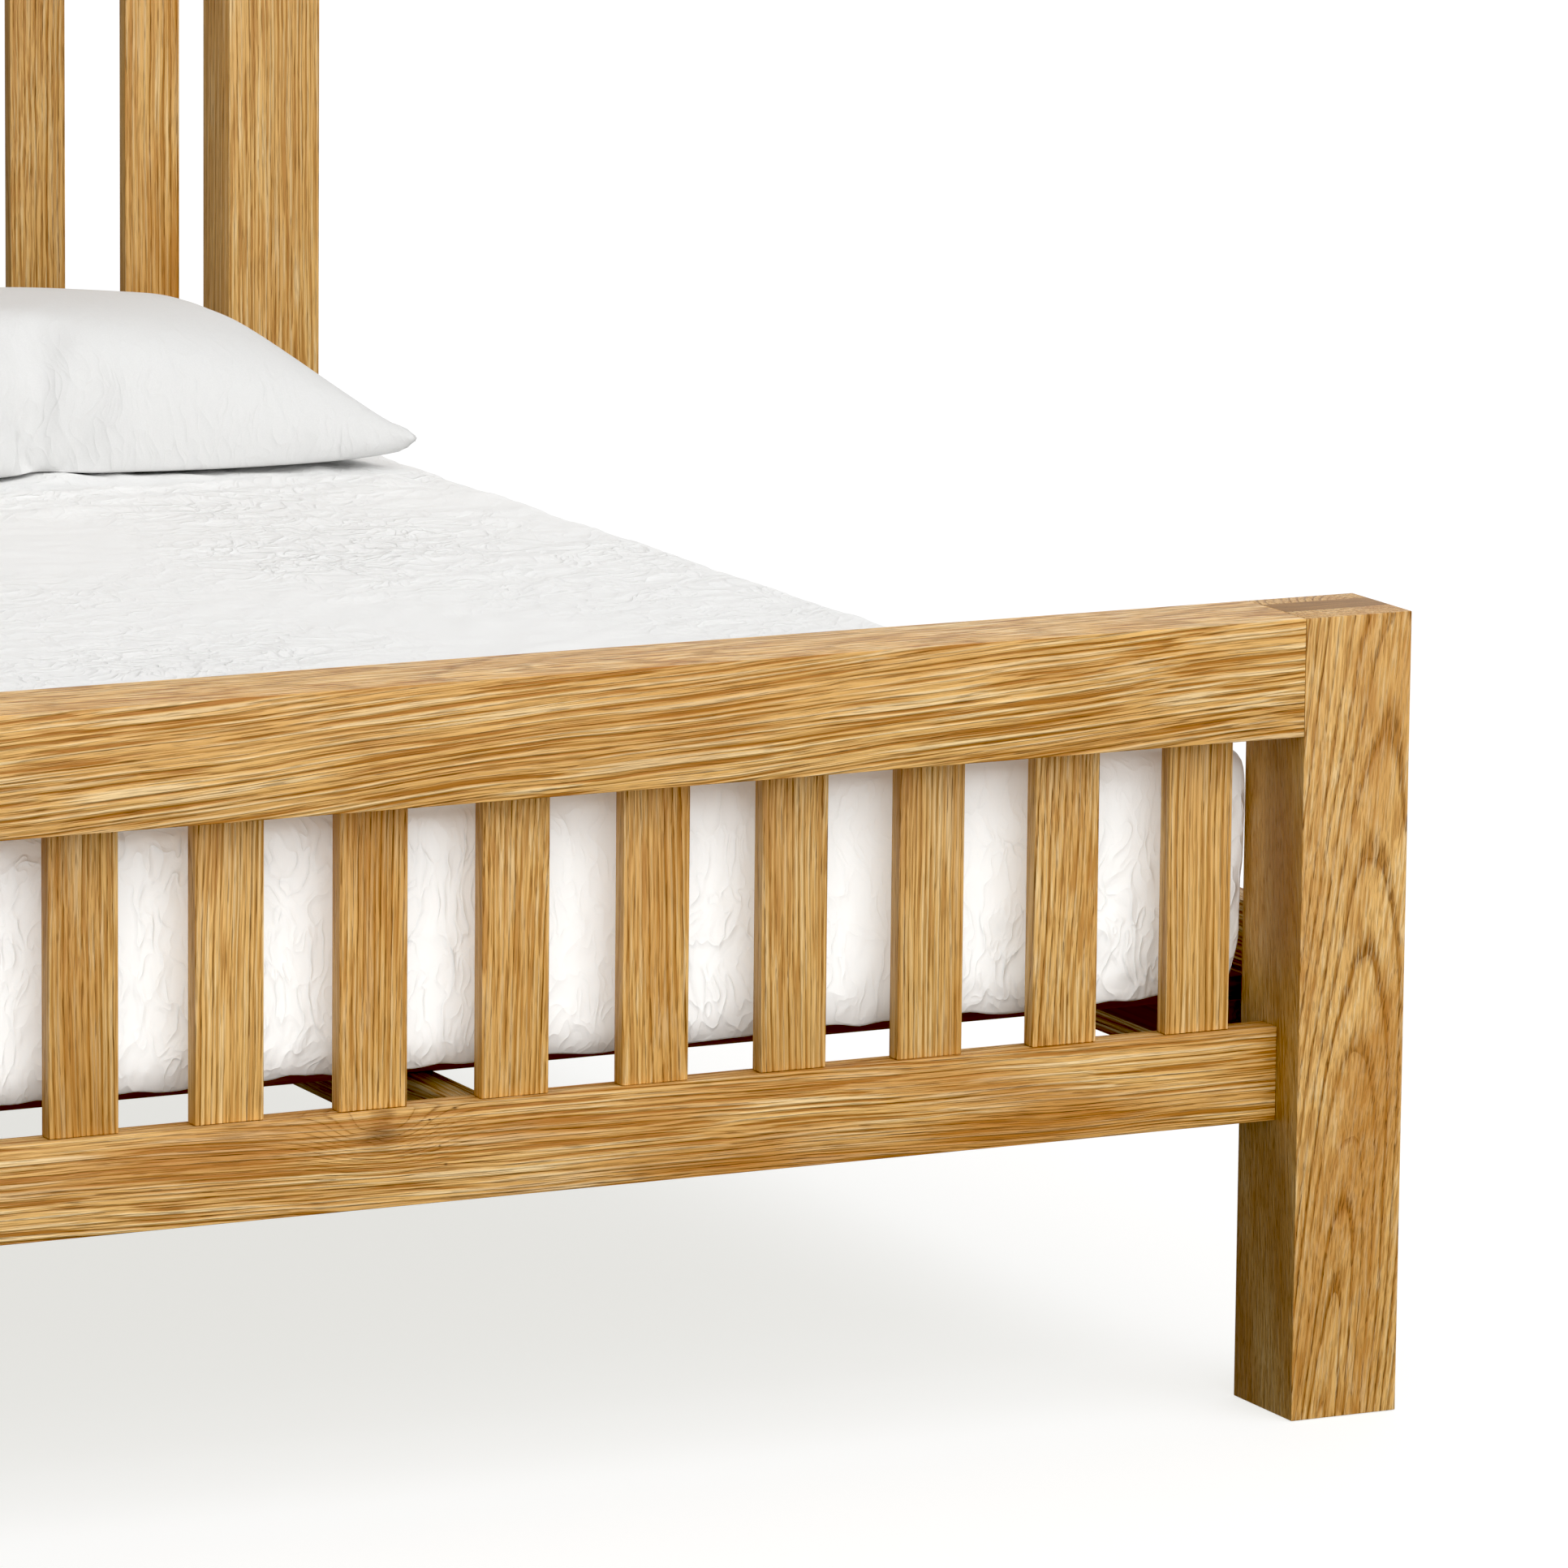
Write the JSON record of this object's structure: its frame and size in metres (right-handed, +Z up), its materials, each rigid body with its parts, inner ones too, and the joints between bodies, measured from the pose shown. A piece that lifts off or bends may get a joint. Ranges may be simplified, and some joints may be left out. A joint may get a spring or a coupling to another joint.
{
  "type": "slatted bedstead",
  "caption": "Solid timber double bedstead with slatted foot and head, slatted base, mattress, sheet and pillows.",
  "frame": {"origin": "on the floor at the centre of the bed's footprint", "axes": "+Z up, +Y from the foot to the head, +X to the right of someone standing at the foot"},
  "size_m": [1.552, 2.075, 1.1],
  "materials": {
    "oak": "brushed oak with a satin honey lacquer",
    "base_timber": "planed softwood",
    "steel": "zinc plated",
    "nylon": "moulded",
    "ticking": "woven mattress cover",
    "cotton": "plain woven cotton"
  },
  "bodies": {
    "bedstead": {"base_slat_01": "base_timber", "base_slat_02": "base_timber", "base_slat_03": "base_timber", "base_slat_04": "base_timber", "base_slat_05": "base_timber", "base_slat_06": "base_timber", "base_slat_07": "base_timber", "base_slat_08": "base_timber", "base_slat_09": "base_timber", "base_slat_10": "base_timber", "base_slat_11": "base_timber", "base_slat_12": "base_timber", "centre_beam": "oak", "centre_leg": "oak", "corner_bracket_foot_left": "steel", "corner_bracket_foot_right": "steel", "corner_bracket_head_left": "steel", "corner_bracket_head_right": "steel", "foot_lower_rail": "oak", "foot_post_left": "oak", "foot_post_right": "oak", "foot_slat_01": "oak", "foot_slat_02": "oak", "foot_slat_03": "oak", "foot_slat_04": "oak", "foot_slat_05": "oak", "foot_slat_06": "oak", "foot_slat_07": "oak", "foot_slat_08": "oak", "foot_slat_09": "oak", "foot_slat_10": "oak", "foot_slat_11": "oak", "foot_slat_12": "oak", "foot_top_rail": "oak", "head_lower_rail": "oak", "head_post_left": "oak", "head_post_right": "oak", "head_slat_01": "oak", "head_slat_02": "oak", "head_slat_03": "oak", "head_slat_04": "oak", "head_slat_05": "oak", "head_slat_06": "oak", "head_slat_07": "oak", "head_slat_08": "oak", "head_slat_09": "oak", "head_slat_10": "oak", "head_slat_11": "oak", "head_slat_12": "oak", "head_top_rail": "oak", "side_ledge_left": "base_timber", "side_ledge_right": "base_timber", "side_rail_left": "oak", "side_rail_right": "oak"},
    "centre_leg_foot": {"centre_leg_foot": "nylon"},
    "mattress": {"mattress": "ticking", "fitted_sheet": "cotton"},
    "pillow_left": {"pillow_left": "cotton"},
    "pillow_right": {"pillow_right": "cotton"}
  },
  "joints": [
    {"name": "mattress_lift", "type": "slide", "parent": "bedstead", "child": "mattress", "axis": [0, 0, 1], "range_m": [0, 0.8]},
    {"name": "pillow_left_lift", "type": "slide", "parent": "mattress", "child": "pillow_left", "axis": [0, 0, 1], "range_m": [0, 0.6]},
    {"name": "pillow_right_lift", "type": "slide", "parent": "mattress", "child": "pillow_right", "axis": [0, 0, 1], "range_m": [0, 0.6]},
    {"name": "centre_leg_foot_adjust", "type": "slide", "parent": "bedstead", "child": "centre_leg_foot", "axis": [0, 0, -1], "range_m": [0, 0.012]}
  ]
}
